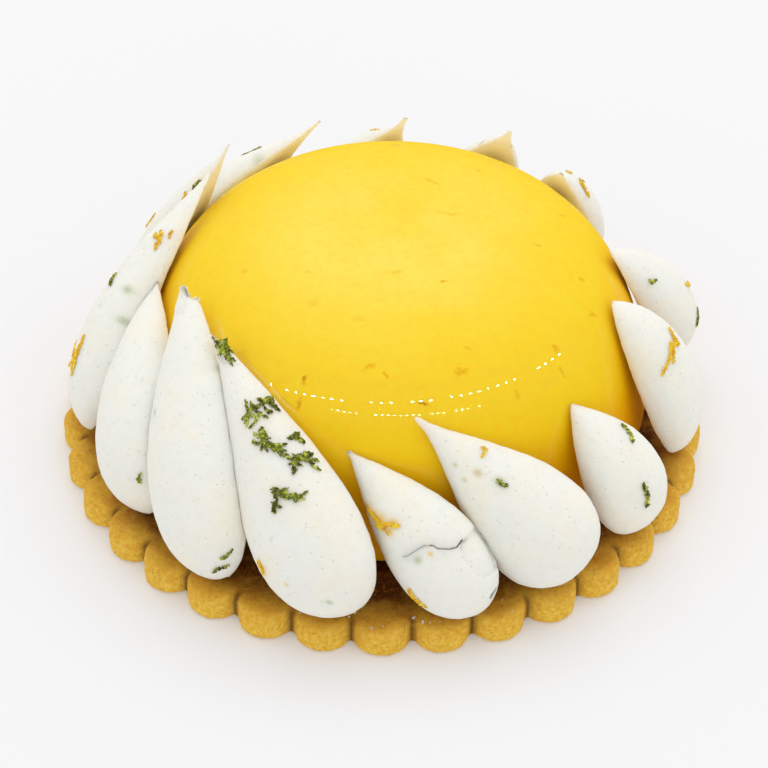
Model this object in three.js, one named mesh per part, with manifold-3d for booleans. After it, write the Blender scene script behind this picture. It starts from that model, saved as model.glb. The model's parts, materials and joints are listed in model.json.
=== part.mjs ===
import * as THREE from 'three';
import { mergeVertices } from 'three/addons/utils/BufferGeometryUtils.js';
import Module from 'manifold-3d';

// A lemon tart for one: a scalloped shortcrust biscuit carries a smooth dome of set lemon cream,
// and a ring of piped meringue drops stands on the biscuit and leans on the dome, strewn with zest.
// Millimetres, +Z up. The origin is the middle of the biscuit's underside and the front is at -Y.
// A bearing is in degrees from +X, counter-clockwise seen from above.

// Clearance between pieces that touch
const GAP = 0.3;

// Biscuit, stamped out with a scalloped cutter
const BISCUIT_RADIUS = 50;
const BISCUIT_THICKNESS = 5;
const BISCUIT_EDGE_ROUND = 0.8;
const SCALLOP_COUNT = 34;
const SCALLOP_RADIUS = 4.4;
const SCALLOP_FIRST_BEARING = 186;

// Lemon cream: a superellipse turned about an axis that stands a little behind the biscuit's middle
const CREAM_RADIUS = 39.6;
const CREAM_HEIGHT = 30;
const CREAM_SIDE_POWER = 5.5;
const CREAM_TOP_POWER = 1.75;
const CREAM_FOOT_ROUND = 1.2;
const CREAM_OFFSET_X = 1.5;
const CREAM_OFFSET_Y = 2.6;

// Meringue drops. Each lay flat on a tray when it was piped, round end first, drawn out to a tip.
// bearing and lean say where its flat back touches the cream and how far it tips inwards, sweep turns
// its tip clockwise, taper draws the tip finer and bend carries the tip over to its clockwise side.
const DROPS = [
  { bearing: 262, lean: 30, sweep: 42, length: 30, width: 14, taper: 1.05, bend: 2 },
  { bearing: 284, lean: 28, sweep: 38, length: 34, width: 17, taper: 1.3, bend: 1.5 },
  { bearing: 319, lean: 30, sweep: 3, length: 23, width: 14, taper: 0.85, bend: 2 },
  { bearing: 349, lean: 26, sweep: -12, length: 28, width: 14, taper: 0.65, bend: 3 },
  { bearing: 9, lean: 26, sweep: 15, length: 31.5, width: 14.5, taper: 1, bend: 1 },
  { bearing: 45, lean: 24, sweep: 12, length: 32, width: 13.5, taper: 1, bend: 2 },
  { bearing: 66, lean: 25, sweep: 21, length: 38, width: 13, taper: 1.2, bend: 0 },
  { bearing: 94, lean: 27, sweep: 15, length: 35.5, width: 14, taper: 1.4, bend: 0 },
  { bearing: 127, lean: 26, sweep: 30, length: 39, width: 14.5, taper: 1.3, bend: 0 },
  { bearing: 152, lean: 22, sweep: 2, length: 40, width: 12.5, taper: 1.2, bend: -1 },
  { bearing: 176, lean: 27, sweep: 36, length: 44, width: 14.5, taper: 1.05, bend: 0 },
  { bearing: 198, lean: 22, sweep: 50, length: 36, width: 16.5, taper: 0.95, bend: 1.5 },
  { bearing: 217, lean: 28, sweep: 44, length: 47, width: 17, taper: 1.15, bend: 0, snapped: 0.9 },
  { bearing: 237, lean: 28, sweep: 49, length: 48.5, width: 18, taper: 1.5, bend: 0.6, snapped: 0.9 },
];
// Height of a drop against its width, and how much of its round section the tray cut away
const DROP_HEIGHT_RATIO = 0.56;
const DROP_CENTRE_RATIO = 0.3;
// Slant of a snapped tip against a square break
const SNAP_SLANT = 35;

// Zest, grated fine: the strands that show, as [drop, along, across, turn, length], where along runs
// from 0 at the round end to 1 at the tip, across from -1 to 1 and turn is measured from the axis.
const LIME_STRANDS = [
  [2, 0.59, -0.15, 170, 1.5],
  [3, 0.69, -0.45, 150, 3],
  [3, 0.32, 0.25, 175, 3.5],
  [5, 0.72, 0.78, 165, 1.5],
  [10, 0.77, -0.9, 10, 2],
  [12, 0.12, -0.82, 15, 1.5],
  [13, 0.03, -0.7, 95, 3],
  [14, 0.88, -0.5, 80, 3],
  [14, 0.86, -0.7, 10, 3.5],
  [14, 0.65, -0.34, 135, 3],
  [14, 0.64, -0.64, 35, 2.5],
  [14, 0.65, -0.95, 20, 2.5],
  [14, 0.58, -0.44, 40, 3],
  [14, 0.56, -0.5, 175, 3],
  [14, 0.53, -0.95, 15, 2.5],
  [14, 0.5, -0.64, 35, 3.5],
  [14, 0.46, -0.78, 95, 3.5],
  [14, 0.45, -0.9, 25, 4],
  [14, 0.4, -0.3, 90, 3.5],
  [14, 0.38, -0.44, 65, 3.5],
];
const LEMON_STRANDS = [
  [1, 0.67, 0.6, 10, 4.5],
  [1, 0.63, 0.42, 55, 4],
  [1, 0.27, 0.85, 15, 4],
  [2, 0.71, -0.7, 165, 1.5],
  [4, 0.69, 0.1, 125, 3],
  [4, 0.62, 0.62, 125, 5],
  [6, 0.8, -0.15, 155, 1.5],
  [6, 0.74, 0.66, 95, 3.5],
  [10, 0.69, -0.9, 15, 1.5],
  [11, 0.71, -0.8, 10, 3],
  [11, 0.23, -0.35, 175, 5.5],
  [14, 0.24, 0.64, 170, 2],
];
// Round the back the zest fell by chance, a few strands to a drop
const STREWN_DROPS = [5, 6, 7, 8, 9, 10, 11];
const STREWN_EACH = 2;
const STREWN_SEED = 7;
const STREWN_ALONG = [0.2, 0.65];
const STREWN_ACROSS = [-0.5, 0.5];
const STREWN_LENGTH = [2, 4.5];
const STRAND_THICKNESS = 0.8;
const STRAND_LIFT = 0.1;
const STRAND_BOW = 0.18;

// Fineness of the facets
const SCALLOP_FACETS = 4;
const BISCUIT_EDGE_FACETS = 2;
const CREAM_FACETS_ROUND = 52;
const CREAM_FACETS_UP = 17;
const DROP_FACETS_ROUND = 14;
const DROP_FACETS_LONG = 13;
const STRAND_FACETS_LONG = 3;
const TOUCH_STEPS = 900;

const CRUST = new THREE.MeshStandardMaterial({ color: 0xcf9a3e, roughness: 0.85, metalness: 0 });
const CREAM = new THREE.MeshStandardMaterial({ color: 0xf7d336, roughness: 0.18, metalness: 0 });
const MERINGUE = new THREE.MeshStandardMaterial({ color: 0xf3f1ea, roughness: 0.75, metalness: 0 });

const wasm = await Module();
wasm.setup();

// Joining and cutting

// A closed surface as a solid, without the flat triangles at its poles
function toSolid(geometry) {
  const bare = geometry.clone();
  bare.deleteAttribute('normal');
  bare.deleteAttribute('uv');
  const merged = mergeVertices(bare);
  const index = merged.index.array;
  const triVerts = [];
  for (let i = 0; i < index.length; i += 3) {
    const [a, b, c] = index.slice(i, i + 3);
    if (a !== b && b !== c && c !== a) triVerts.push(a, b, c);
  }
  const vertProperties = new Float32Array(merged.attributes.position.array);
  return new wasm.Manifold(new wasm.Mesh({ numProp: 3, vertProperties, triVerts: new Uint32Array(triVerts) }));
}

function toGeometry(solid) {
  const { numProp, vertProperties, triVerts } = solid.getMesh();
  const positions = [];
  for (let i = 0; i < vertProperties.length; i += numProp) {
    positions.push(vertProperties[i], vertProperties[i + 1], vertProperties[i + 2]);
  }
  const geometry = new THREE.BufferGeometry();
  geometry.setAttribute('position', new THREE.Float32BufferAttribute(positions, 3));
  geometry.setIndex([...triVerts]);
  geometry.computeVertexNormals();
  return geometry;
}

// Biscuit

function scallopedOutline() {
  const centreRadius = BISCUIT_RADIUS - SCALLOP_RADIUS;
  const halfPitch = Math.PI / SCALLOP_COUNT;
  const notchRadius = centreRadius * Math.cos(halfPitch)
    + Math.sqrt(SCALLOP_RADIUS ** 2 - (centreRadius * Math.sin(halfPitch)) ** 2);
  const halfArc = Math.atan2(
    notchRadius * Math.sin(halfPitch),
    notchRadius * Math.cos(halfPitch) - centreRadius,
  );
  const outline = new THREE.Shape();
  for (let k = 0; k < SCALLOP_COUNT; k += 1) {
    const bearing = THREE.MathUtils.degToRad(SCALLOP_FIRST_BEARING) + 2 * halfPitch * k;
    const x = centreRadius * Math.cos(bearing);
    const y = centreRadius * Math.sin(bearing);
    outline.absarc(x, y, SCALLOP_RADIUS, bearing - halfArc, bearing + halfArc, false);
  }
  return outline;
}

function biscuitGeometry() {
  const geometry = new THREE.ExtrudeGeometry(scallopedOutline(), {
    depth: BISCUIT_THICKNESS - 2 * BISCUIT_EDGE_ROUND,
    curveSegments: SCALLOP_FACETS,
    bevelThickness: BISCUIT_EDGE_ROUND,
    bevelSize: BISCUIT_EDGE_ROUND,
    bevelOffset: -BISCUIT_EDGE_ROUND,
    bevelSegments: BISCUIT_EDGE_FACETS,
  });
  return geometry.translate(0, 0, BISCUIT_EDGE_ROUND);
}

// Lemon cream

// Radius and height of the cream's side at a share of the way from its foot, 0, to its crown, 1
function creamSide(share) {
  const angle = share * Math.PI / 2;
  const radius = CREAM_RADIUS * Math.max(Math.cos(angle), 0) ** (2 / CREAM_SIDE_POWER);
  const height = CREAM_HEIGHT * Math.sin(angle) ** (2 / CREAM_TOP_POWER);
  return new THREE.Vector2(radius, height);
}

function creamGeometry() {
  const profile = [new THREE.Vector2(0, 0), new THREE.Vector2(CREAM_RADIUS - CREAM_FOOT_ROUND, 0)];
  for (let i = 0; i <= CREAM_FACETS_UP; i += 1) {
    const point = creamSide(i / CREAM_FACETS_UP);
    if (point.y > CREAM_FOOT_ROUND && i < CREAM_FACETS_UP) profile.push(point);
  }
  profile.push(new THREE.Vector2(0, CREAM_HEIGHT));
  const geometry = new THREE.LatheGeometry(profile, CREAM_FACETS_ROUND);
  return geometry.rotateX(Math.PI / 2);
}

// Meringue drops

// Half width of a drop at a share of its length: round at 0, drawn out to a point at 1
function halfWidth(drop, share) {
  const widest = 1 / (1 + 2 * drop.taper);
  const roundEnd = Math.sqrt(share / widest);
  const drawnOut = ((1 - share) / (1 - widest)) ** drop.taper;
  return drop.width / 2 * roundEnd * drawnOut;
}

// Half height of the round section before the tray cut it flat
function halfHeight(drop, share) {
  return halfWidth(drop, share) * 2 * DROP_HEIGHT_RATIO / (1 + DROP_CENTRE_RATIO);
}

// A drop as piped: along +X, flat on the tray, with clearance added all round
function pipedDrop(drop, clearance) {
  const geometry = new THREE.SphereGeometry(1, DROP_FACETS_ROUND, DROP_FACETS_LONG);
  const positions = geometry.attributes.position;
  for (let i = 0; i < positions.count; i += 1) {
    const share = THREE.MathUtils.clamp((1 - positions.getY(i)) / 2, 0, 1);
    const angle = Math.atan2(positions.getZ(i), positions.getX(i));
    const across = (halfWidth(drop, share) + clearance) * Math.cos(angle);
    const rise = (halfHeight(drop, share) + clearance) * (Math.sin(angle) + DROP_CENTRE_RATIO);
    const pole = share === 0 || share === 1;
    positions.setXYZ(
      i,
      share * drop.length + (2 * share - 1) * clearance,
      (pole ? 0 : across) + drop.bend * share ** 3,
      pole ? 0 : Math.max(rise, -clearance),
    );
  }
  return geometry;
}

// Height of a drop's outer skin over the tray
function skinHeight(drop, share, across) {
  const round = Math.sqrt(Math.max(1 - across ** 2, 0));
  return halfHeight(drop, share) * (round + DROP_CENTRE_RATIO);
}

// The point of the cream's side that a plane with this normal elevation touches first
function creamTouch(elevation) {
  let best = creamSide(0);
  let farthest = 0;
  for (let i = 0; i <= TOUCH_STEPS; i += 1) {
    const point = creamSide(i / TOUCH_STEPS);
    const reach = point.x * Math.cos(elevation) + point.y * Math.sin(elevation);
    if (reach > farthest) {
      farthest = reach;
      best = point;
    }
  }
  return best;
}

// Stands a piped drop up: its back on the cream, its lowest point on the biscuit
function standingPlace(drop) {
  const bearing = THREE.MathUtils.degToRad(drop.bearing);
  const lean = THREE.MathUtils.degToRad(drop.lean);
  const sweep = THREE.MathUtils.degToRad(drop.sweep);
  const radial = new THREE.Vector3(Math.cos(bearing), Math.sin(bearing), 0);
  const clockwise = new THREE.Vector3(Math.sin(bearing), -Math.cos(bearing), 0);
  const up = new THREE.Vector3(0, 0, 1);
  const out = radial.clone().multiplyScalar(Math.cos(lean)).addScaledVector(up, Math.sin(lean));
  const uphill = up.clone().multiplyScalar(Math.cos(lean)).addScaledVector(radial, -Math.sin(lean));
  const along = uphill.multiplyScalar(Math.cos(sweep)).addScaledVector(clockwise, Math.sin(sweep));
  const across = out.clone().cross(along);
  const touch = creamTouch(lean);
  const origin = new THREE.Vector3(CREAM_OFFSET_X, CREAM_OFFSET_Y, BISCUIT_THICKNESS + GAP + touch.y)
    .addScaledVector(radial, touch.x)
    .addScaledVector(out, GAP);
  const place = new THREE.Matrix4().makeBasis(along, across, out).setPosition(origin);
  const lowest = new THREE.Box3().setFromBufferAttribute(
    pipedDrop(drop, 0).applyMatrix4(place).attributes.position,
  ).min.z;
  const slide = (BISCUIT_THICKNESS + GAP - lowest) / along.z;
  return place.setPosition(origin.addScaledVector(along, slide));
}

// The tip that broke off, as a slanted block over the end of a drop
function snappedTip(drop) {
  const block = new THREE.BoxGeometry(drop.length, 2 * drop.width, 2 * drop.width);
  return block
    .translate(drop.length / 2, 0, 0)
    .rotateZ(-THREE.MathUtils.degToRad(SNAP_SLANT))
    .translate(drop.snapped * drop.length, 0, 0);
}

// Zest

// A number between two limits, drawn from the seeded sequence
function draw([low, high]) {
  return low + (high - low) * THREE.MathUtils.seededRandom();
}

function strewnStrands() {
  THREE.MathUtils.seededRandom(STREWN_SEED);
  return STREWN_DROPS.flatMap((number) => Array.from({ length: STREWN_EACH }, () => [
    number,
    draw(STREWN_ALONG),
    draw(STREWN_ACROSS),
    draw([0, 180]),
    draw(STREWN_LENGTH),
  ]));
}

// A strand lies on the skin of a drop, bowed a little, half sunk in it
function strandGeometry(drop, along, across, turn, length) {
  const heading = THREE.MathUtils.degToRad(turn);
  const middle = new THREE.Vector2(along * drop.length, across * halfWidth(drop, along));
  const points = [];
  for (let i = 0; i <= STRAND_FACETS_LONG; i += 1) {
    const s = i / STRAND_FACETS_LONG - 0.5;
    const spot = new THREE.Vector2(s * length, STRAND_BOW * length * (4 * s * s - 0.5))
      .rotateAround(new THREE.Vector2(), heading)
      .add(middle);
    const share = THREE.MathUtils.clamp(spot.x / drop.length, 0.02, 0.98);
    const sideways = THREE.MathUtils.clamp(spot.y / halfWidth(drop, share), -0.98, 0.98);
    points.push(new THREE.Vector3(
      share * drop.length,
      sideways * halfWidth(drop, share) + drop.bend * share ** 3,
      skinHeight(drop, share, sideways) + STRAND_LIFT,
    ));
  }
  const half = STRAND_THICKNESS / 2;
  const section = new THREE.Shape();
  section.moveTo(-half, -half);
  section.lineTo(half, -half);
  section.lineTo(half, half);
  section.lineTo(-half, half);
  return new THREE.ExtrudeGeometry(section, {
    steps: STRAND_FACETS_LONG,
    extrudePath: new THREE.CatmullRomCurve3(points),
  });
}

function named(name, geometry, material) {
  const mesh = new THREE.Mesh(geometry, material);
  mesh.name = name;
  return mesh;
}

const tart = new THREE.Group();
tart.add(named('biscuit', biscuitGeometry(), CRUST));

const cream = named('lemon_cream', creamGeometry(), CREAM);
cream.position.set(CREAM_OFFSET_X, CREAM_OFFSET_Y, BISCUIT_THICKNESS + GAP);
tart.add(cream);

// Drops nearest the front are whole. Each one behind gives way where it would press into them.
const frontFirst = DROPS
  .map((drop, i) => ({ ...drop, number: i + 1, place: standingPlace(drop) }))
  .sort((a, b) => Math.sin(THREE.MathUtils.degToRad(a.bearing)) - Math.sin(THREE.MathUtils.degToRad(b.bearing)));
const strands = [...LIME_STRANDS, ...LEMON_STRANDS, ...strewnStrands()];
const standing = [];
for (const drop of frontFirst) {
  let solid = toSolid(pipedDrop(drop, 0));
  if (drop.snapped) solid = solid.subtract(toSolid(snappedTip(drop)));
  for (const [number, ...lie] of strands) {
    if (number === drop.number) solid = solid.add(toSolid(strandGeometry(drop, ...lie)));
  }
  solid = toSolid(toGeometry(solid).applyMatrix4(drop.place));
  for (const earlier of standing) solid = solid.subtract(earlier);
  standing.push(toSolid(pipedDrop(drop, GAP).applyMatrix4(drop.place)));
  const name = `meringue_${String(drop.number).padStart(2, '0')}`;
  tart.add(named(name, toGeometry(solid), MERINGUE));
}

export default tart;
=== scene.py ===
# %% [markdown]
# # A lemon tart for one
# The real tart is a crisp shortcrust biscuit cut with a scalloped cutter, a smooth dome of set lemon
# cream, and a ring of meringue drops that were piped flat on a tray, dried and stood up against the
# cream. Grated lime and lemon zest lies on the drops. The imported solids give every place and size, so
# the first cell loads them as a fixed frame.

import json
import math
import random
from collections import namedtuple

import bmesh
import bpy
import numpy as np
from mathutils import Matrix, Vector

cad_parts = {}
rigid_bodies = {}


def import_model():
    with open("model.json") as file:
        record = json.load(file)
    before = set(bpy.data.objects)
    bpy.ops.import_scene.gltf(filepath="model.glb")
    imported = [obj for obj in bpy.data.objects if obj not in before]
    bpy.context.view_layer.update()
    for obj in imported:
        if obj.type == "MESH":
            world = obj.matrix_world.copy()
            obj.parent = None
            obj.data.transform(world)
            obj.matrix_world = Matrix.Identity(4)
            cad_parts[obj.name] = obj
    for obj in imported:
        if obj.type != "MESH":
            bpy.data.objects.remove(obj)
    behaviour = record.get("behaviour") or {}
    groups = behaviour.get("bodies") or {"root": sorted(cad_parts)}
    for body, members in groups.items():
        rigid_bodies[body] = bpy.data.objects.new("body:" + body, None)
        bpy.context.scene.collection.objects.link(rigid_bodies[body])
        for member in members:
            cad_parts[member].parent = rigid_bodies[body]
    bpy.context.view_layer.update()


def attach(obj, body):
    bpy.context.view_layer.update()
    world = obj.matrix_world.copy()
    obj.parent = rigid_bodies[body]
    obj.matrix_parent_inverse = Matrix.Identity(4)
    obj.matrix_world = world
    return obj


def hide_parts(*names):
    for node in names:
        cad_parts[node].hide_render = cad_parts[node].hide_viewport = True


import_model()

# %% [markdown]
# ## Camera
# A camera could be aimed by eye, but the scallops of the biscuit are evenly spaced, so they tell its
# place exactly: about 41 degrees above the table, with a long lens and a roll of one degree.

# %% Camera
MM = 0.001
VIEW_ELEVATION = math.radians(41.29)
VIEW_ROLL = math.radians(1.19)
VIEW_DISTANCE = 386.5 * MM
VIEW_TARGET = Vector((0.16, 9.45, 0)) * MM
VIEW_LENS = 112.5

view_back = Vector((0, -math.cos(VIEW_ELEVATION), math.sin(VIEW_ELEVATION)))
view_tilt = Matrix.Rotation(math.pi / 2 - VIEW_ELEVATION, 3, "X")
view_turn = view_tilt @ Matrix.Rotation(VIEW_ROLL, 3, "Z")
bpy.ops.object.camera_add(
    location=VIEW_TARGET + view_back * VIEW_DISTANCE, rotation=view_turn.to_euler()
)
camera = bpy.context.object
camera.data.lens = VIEW_LENS
bpy.context.scene.camera = camera
print("camera at", [round(v, 3) for v in camera.location])

# %% [markdown]
# ## Hands
# An operator acts on whatever is selected, so each step below first selects one piece alone. These few
# helpers stand for the hands: they select a piece, step into and out of edit mode, pick points by their
# place, fix a piece where it stands, and add a modifier and apply it at once.

# %% Hands
def take(piece):
    bpy.ops.object.select_all(action="DESELECT")
    piece.select_set(True)
    bpy.context.view_layer.objects.active = piece


def edit(piece, select="SELECT"):
    take(piece)
    bpy.ops.object.mode_set(mode="EDIT")
    bpy.ops.mesh.select_mode(type="VERT")
    bpy.ops.mesh.select_all(action=select)


def leave_edit():
    bpy.ops.object.mode_set(mode="OBJECT")


def pick(wanted):
    mesh = bpy.context.object.data
    points = bmesh.from_edit_mesh(mesh)
    for vertex in points.verts:
        vertex.select_set(bool(wanted(vertex.co)))
    points.select_flush(True)
    points.select_flush_mode()
    bmesh.update_edit_mesh(mesh)


def settle(piece):
    take(piece)
    bpy.ops.object.transform_apply(location=True, rotation=True, scale=True)


def modify(piece, kind, **settings):
    take(piece)
    bpy.ops.object.modifier_add(type=kind)
    modifier = piece.modifiers[-1]
    for name, value in settings.items():
        setattr(modifier, name, value)
    bpy.ops.object.modifier_apply(modifier=modifier.name)


# %% [markdown]
# ## Finishes by nodes
# A finish is a small web of nodes around one Principled shader. Writing each node out in full would
# bury the recipe, so one helper adds a node and joins whatever it is given. Colours are written as they
# look on a screen and turned into the light that the shader works with. A finish starts from one colour
# and others are washed over it, each where its shares, multiplied, let it through.

# %% Finishes by nodes
# the colour sockets of a Mix node
MIX_UNDER, MIX_OVER, MIX_RESULT = 6, 7, 2
SPECK_CORE = 0.45


def paint(red, green, blue):
    return tuple(
        c / 12.92 if c <= 0.04045 else ((c + 0.055) / 1.055) ** 2.4
        for c in (red / 255, green / 255, blue / 255)
    ) + (1.0,)


class Finish:
    def __init__(self, name, base=None, **sockets):
        self.material = bpy.data.materials.new(name)
        self.material.use_nodes = True
        self.tree = self.material.node_tree
        self.shader = next(n for n in self.tree.nodes if n.type == "BSDF_PRINCIPLED")
        self.set(self.shader, sockets)
        self.places = self.add("ShaderNodeTexCoord").outputs["Object"]
        self.tone = base

    def set(self, node, values):
        for key, value in values.items():
            socket = node.inputs[key if isinstance(key, int) else key.replace("_", " ")]
            if isinstance(value, bpy.types.NodeSocket):
                self.tree.links.new(value, socket)
            else:
                socket.default_value = value

    def add(self, kind, inputs=None, **settings):
        node = self.tree.nodes.new(kind)
        for name, value in settings.items():
            setattr(node, name, value)
        self.set(node, inputs or {})
        return node

    def axes(self, vector):
        return self.add("ShaderNodeSeparateXYZ", {0: vector}).outputs

    def noise(self, size, detail=3.0, rough=0.5):
        inputs = {"Vector": self.places, "Scale": 1 / size, "Detail": detail, "Roughness": rough}
        return self.add("ShaderNodeTexNoise", inputs).outputs["Fac"]

    def math(self, operation, first, second=0.0):
        return self.add("ShaderNodeMath", {0: first, 1: second}, operation=operation).outputs[0]

    def times(self, share, *others):
        for other in others:
            share = self.math("MULTIPLY", share, other)
        return share

    def vector(self, operation, first, second=(0, 0, 0)):
        inputs = {0: first, 1: second}
        return self.add("ShaderNodeVectorMath", inputs, operation=operation).outputs

    def ramp(self, value, low, high, start=0.0, end=1.0):
        inputs = {"Value": value, "From_Min": low, "From_Max": high, "To_Min": start, "To_Max": end}
        node = self.add("ShaderNodeMapRange", inputs, interpolation_type="SMOOTHSTEP")
        return node.outputs["Result"]

    def layer(self, name):
        return self.add("ShaderNodeAttribute", attribute_name=name).outputs["Fac"]

    def specks(self, spacing, radius, kept):
        cells = self.add("ShaderNodeTexVoronoi", {"Vector": self.places, "Scale": 1 / spacing})
        edge = radius / spacing
        spot = self.ramp(cells.outputs["Distance"], SPECK_CORE * edge, edge, 1.0, 0.0)
        chance = self.add("ShaderNodeSeparateColor", {0: cells.outputs["Color"]}).outputs[0]
        return self.times(spot, self.math("LESS_THAN", chance, kept))

    def wash(self, colour, *shares):
        node = self.add("ShaderNodeMix", data_type="RGBA")
        self.set(node, {0: self.times(*shares), MIX_UNDER: self.tone, MIX_OVER: colour})
        self.tone = node.outputs[MIX_RESULT]
        self.set(self.shader, {"Base_Color": self.tone})

    def relief(self, height, depth):
        inputs = {"Height": height, "Distance": depth, "Strength": 1.0}
        normal = self.add("ShaderNodeBump", inputs).outputs["Normal"]
        self.set(self.shader, {"Normal": normal})


def dress(piece, finish):
    piece.data.materials.clear()
    piece.data.materials.append(finish.material)
    print(piece.name, "wears", finish.material.name, "of", len(finish.tree.nodes), "nodes")


# %% [markdown]
# ## Light
# The tart stood in soft, bright light from all round. A white world gives that light, and one broad
# panel above the back brightens what faces up. Only mirrored light is warm, because a white room
# mirrored in the wet cream would wash its yellow out, so the world asks which kind of ray looks at it.

# %% World and panel
WORLD_LIGHT = (0.87, 0.87, 0.87, 1.0)
MIRRORED_LIGHT = (0.9, 0.62, 0.06, 1.0)
PANEL_WATTS = 3.6
PANEL_SIZE = 1.1
PANEL_PLACE = Vector((0.08, 0.3, 1.1))

scene = bpy.context.scene
scene.view_settings.view_transform = "Standard"
scene.world = bpy.data.worlds.new("studio")
scene.world.use_nodes = True
studio = scene.world.node_tree
ray = studio.nodes.new("ShaderNodeLightPath")
seen = studio.nodes.new("ShaderNodeMix")
seen.data_type = "RGBA"
seen.inputs[MIX_UNDER].default_value = WORLD_LIGHT
seen.inputs[MIX_OVER].default_value = MIRRORED_LIGHT
studio.links.new(ray.outputs["Is Glossy Ray"], seen.inputs[0])
studio.links.new(seen.outputs[MIX_RESULT], studio.nodes["Background"].inputs["Color"])

facing_tart = PANEL_PLACE.to_track_quat("Z", "Y").to_euler()
bpy.ops.object.light_add(type="AREA", location=PANEL_PLACE, rotation=facing_tart)
panel = bpy.context.object
panel.data.energy = PANEL_WATTS
panel.data.size = PANEL_SIZE
panel.visible_glossy = False
print("panel at", [round(v, 2) for v in panel.location])

# %% [markdown]
# ## Table
# The tart stood on a plain white table, with pale, soft shadows. A table that only takes light would
# show them too dark, so this one glows a little by itself. It is one grid, far larger than the picture.

# %% Table
TABLE_SIZE = 8.0
TABLE_GLOW = 0.19
FULL_WHITE = (1, 1, 1, 1)
bpy.ops.mesh.primitive_grid_add(x_subdivisions=8, y_subdivisions=8, size=TABLE_SIZE)
table = bpy.context.object
table.name = "table"
table_white = Finish(
    "table_white", paint(216, 216, 218), Roughness=0.8, Specular_IOR_Level=0.0,
    Emission_Color=FULL_WHITE, Emission_Strength=TABLE_GLOW,
)
table_white.wash(paint(219, 219, 220), table_white.noise(0.2))
dress(table, table_white)
table.visible_glossy = False

# %% [markdown]
# ## Rows of lamps
# Two rows of small lamps in front of the table leave the dotted glints on the cream's shoulder. A long
# area light would draw a solid line there. So one small plane is repeated along an arc with Spin, some
# copies are taken out and the rest are shaken a little, which leaves no two glints alike.

# %% Rows of lamps
# three points that a row's arc passes through, how many lamps it has, and their size
LAMP_ROWS = [
    ((-0.96, -0.40, 0.61), (0.06, -0.77, 0.91), (1.06, 0.06, 0.58), 33, 20 * MM),
    ((-0.49, -0.85, 0.69), (-0.02, -0.95, 0.74), (0.70, -0.73, 0.67), 24, 11 * MM),
]
LAMPS_OUT = 0.22
LAMP_SHAKE = 0.5
LAMP_GLOW = 24.0
glow = Finish("lamp_glow", Emission_Color=FULL_WHITE, Emission_Strength=LAMP_GLOW)
glow.material.cycles.emission_sampling = "NONE"


def tear_out(share, seed):
    bpy.ops.mesh.select_mode(type="FACE")
    bpy.ops.mesh.select_all(action="DESELECT")
    bpy.ops.mesh.select_random(ratio=share, seed=seed)
    bpy.ops.mesh.delete(type="FACE")
    bpy.ops.mesh.select_mode(type="VERT")
    bpy.ops.mesh.select_all(action="SELECT")


def places(piece):
    flat = np.empty(3 * len(piece.data.vertices))
    piece.data.vertices.foreach_get("co", flat)
    return flat.reshape(-1, 3)


def arc_through(start, middle, end):
    start, middle, end = Vector(start), Vector(middle), Vector(end)
    a, c = start - middle, end - middle
    axis = a.cross(c)
    inward = (a.length_squared * c - c.length_squared * a).cross(axis)
    centre = middle + inward / (2 * axis.length_squared)
    first, last = start - centre, end - centre
    angle = first.angle(last)
    if first.cross(last).dot(axis) > 0:
        angle = 2 * math.pi - angle
    return centre, axis.normalized(), angle


for start, middle, end, count, size in LAMP_ROWS:
    centre, axis, angle = arc_through(start, middle, end)
    facing = Vector(start).to_track_quat("Z", "Y").to_euler()
    bpy.ops.mesh.primitive_plane_add(size=size, location=start, rotation=facing)
    lamps = bpy.context.object
    lamps.name = f"lamps_{count}"
    settle(lamps)
    edit(lamps)
    bpy.ops.mesh.spin(steps=count, angle=angle, dupli=True, center=centre, axis=axis)
    tear_out(LAMPS_OUT, count)
    bpy.ops.transform.vertex_random(offset=LAMP_SHAKE * size, seed=count)
    leave_edit()
    reach = places(lamps)
    print("lamps from", reach.min(0).round(2), "to", reach.max(0).round(2))
    dress(lamps, glow)
    lamps.visible_diffuse = False

# %% [markdown]
# ## Biscuit
# The cutter's scallops baked into plump round lobes with soft rims, and the valleys between them fade
# out towards the middle. A scalloped outline could be extruded, but its rim would be a hard step. Here
# one lobe is modelled as a short round slab with bevelled rims and spun round the middle in copies.

# %% Lobes
BISCUIT_RADIUS = 50 * MM
BISCUIT_THICKNESS = 5 * MM
LOBE_COUNT = 34
LOBE_RADIUS = 4.4 * MM
LOBE_FIRST = math.radians(186)
LOBE_RIM = 1.4 * MM
LOBE_FACETS = 32
UNDER_RIM = 0.5 * MM
RIM_STEPS = 5


def rimmed_slab(radius, height, rim, facets, middle=(0, 0)):
    bpy.ops.mesh.primitive_cylinder_add(
        vertices=facets, radius=radius, depth=height, location=(*middle, height / 2)
    )
    slab = bpy.context.object
    settle(slab)
    for top, width in ((True, rim), (False, UNDER_RIM)):
        edit(slab, "DESELECT")
        pick(lambda co: (co.z > height / 2) == top)
        bpy.ops.mesh.bevel(offset=width, segments=RIM_STEPS, affect="EDGES")
        leave_edit()
    return slab


lobe_ring = BISCUIT_RADIUS - LOBE_RADIUS
lobe_middle = (lobe_ring * math.cos(LOBE_FIRST), lobe_ring * math.sin(LOBE_FIRST))
biscuit = rimmed_slab(LOBE_RADIUS, BISCUIT_THICKNESS, LOBE_RIM, LOBE_FACETS, lobe_middle)
biscuit.name = "shortcrust_biscuit"
edit(biscuit)
bpy.ops.mesh.spin(
    steps=LOBE_COUNT, angle=2 * math.pi, dupli=True, center=(0, 0, 0), axis=(0, 0, 1)
)
leave_edit()
print(LOBE_COUNT, "lobes,", len(biscuit.data.polygons), "faces")

# %% [markdown]
# ## Fusing the biscuit
# The lobes are set on a plain round slab and fused with it. A Boolean would leave sharp creases, but a
# voxel Remesh rounds every valley by itself. The heart under the cream needs no such fine mesh, so it is
# left out of the slab here and filled later with a plain disc.

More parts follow.
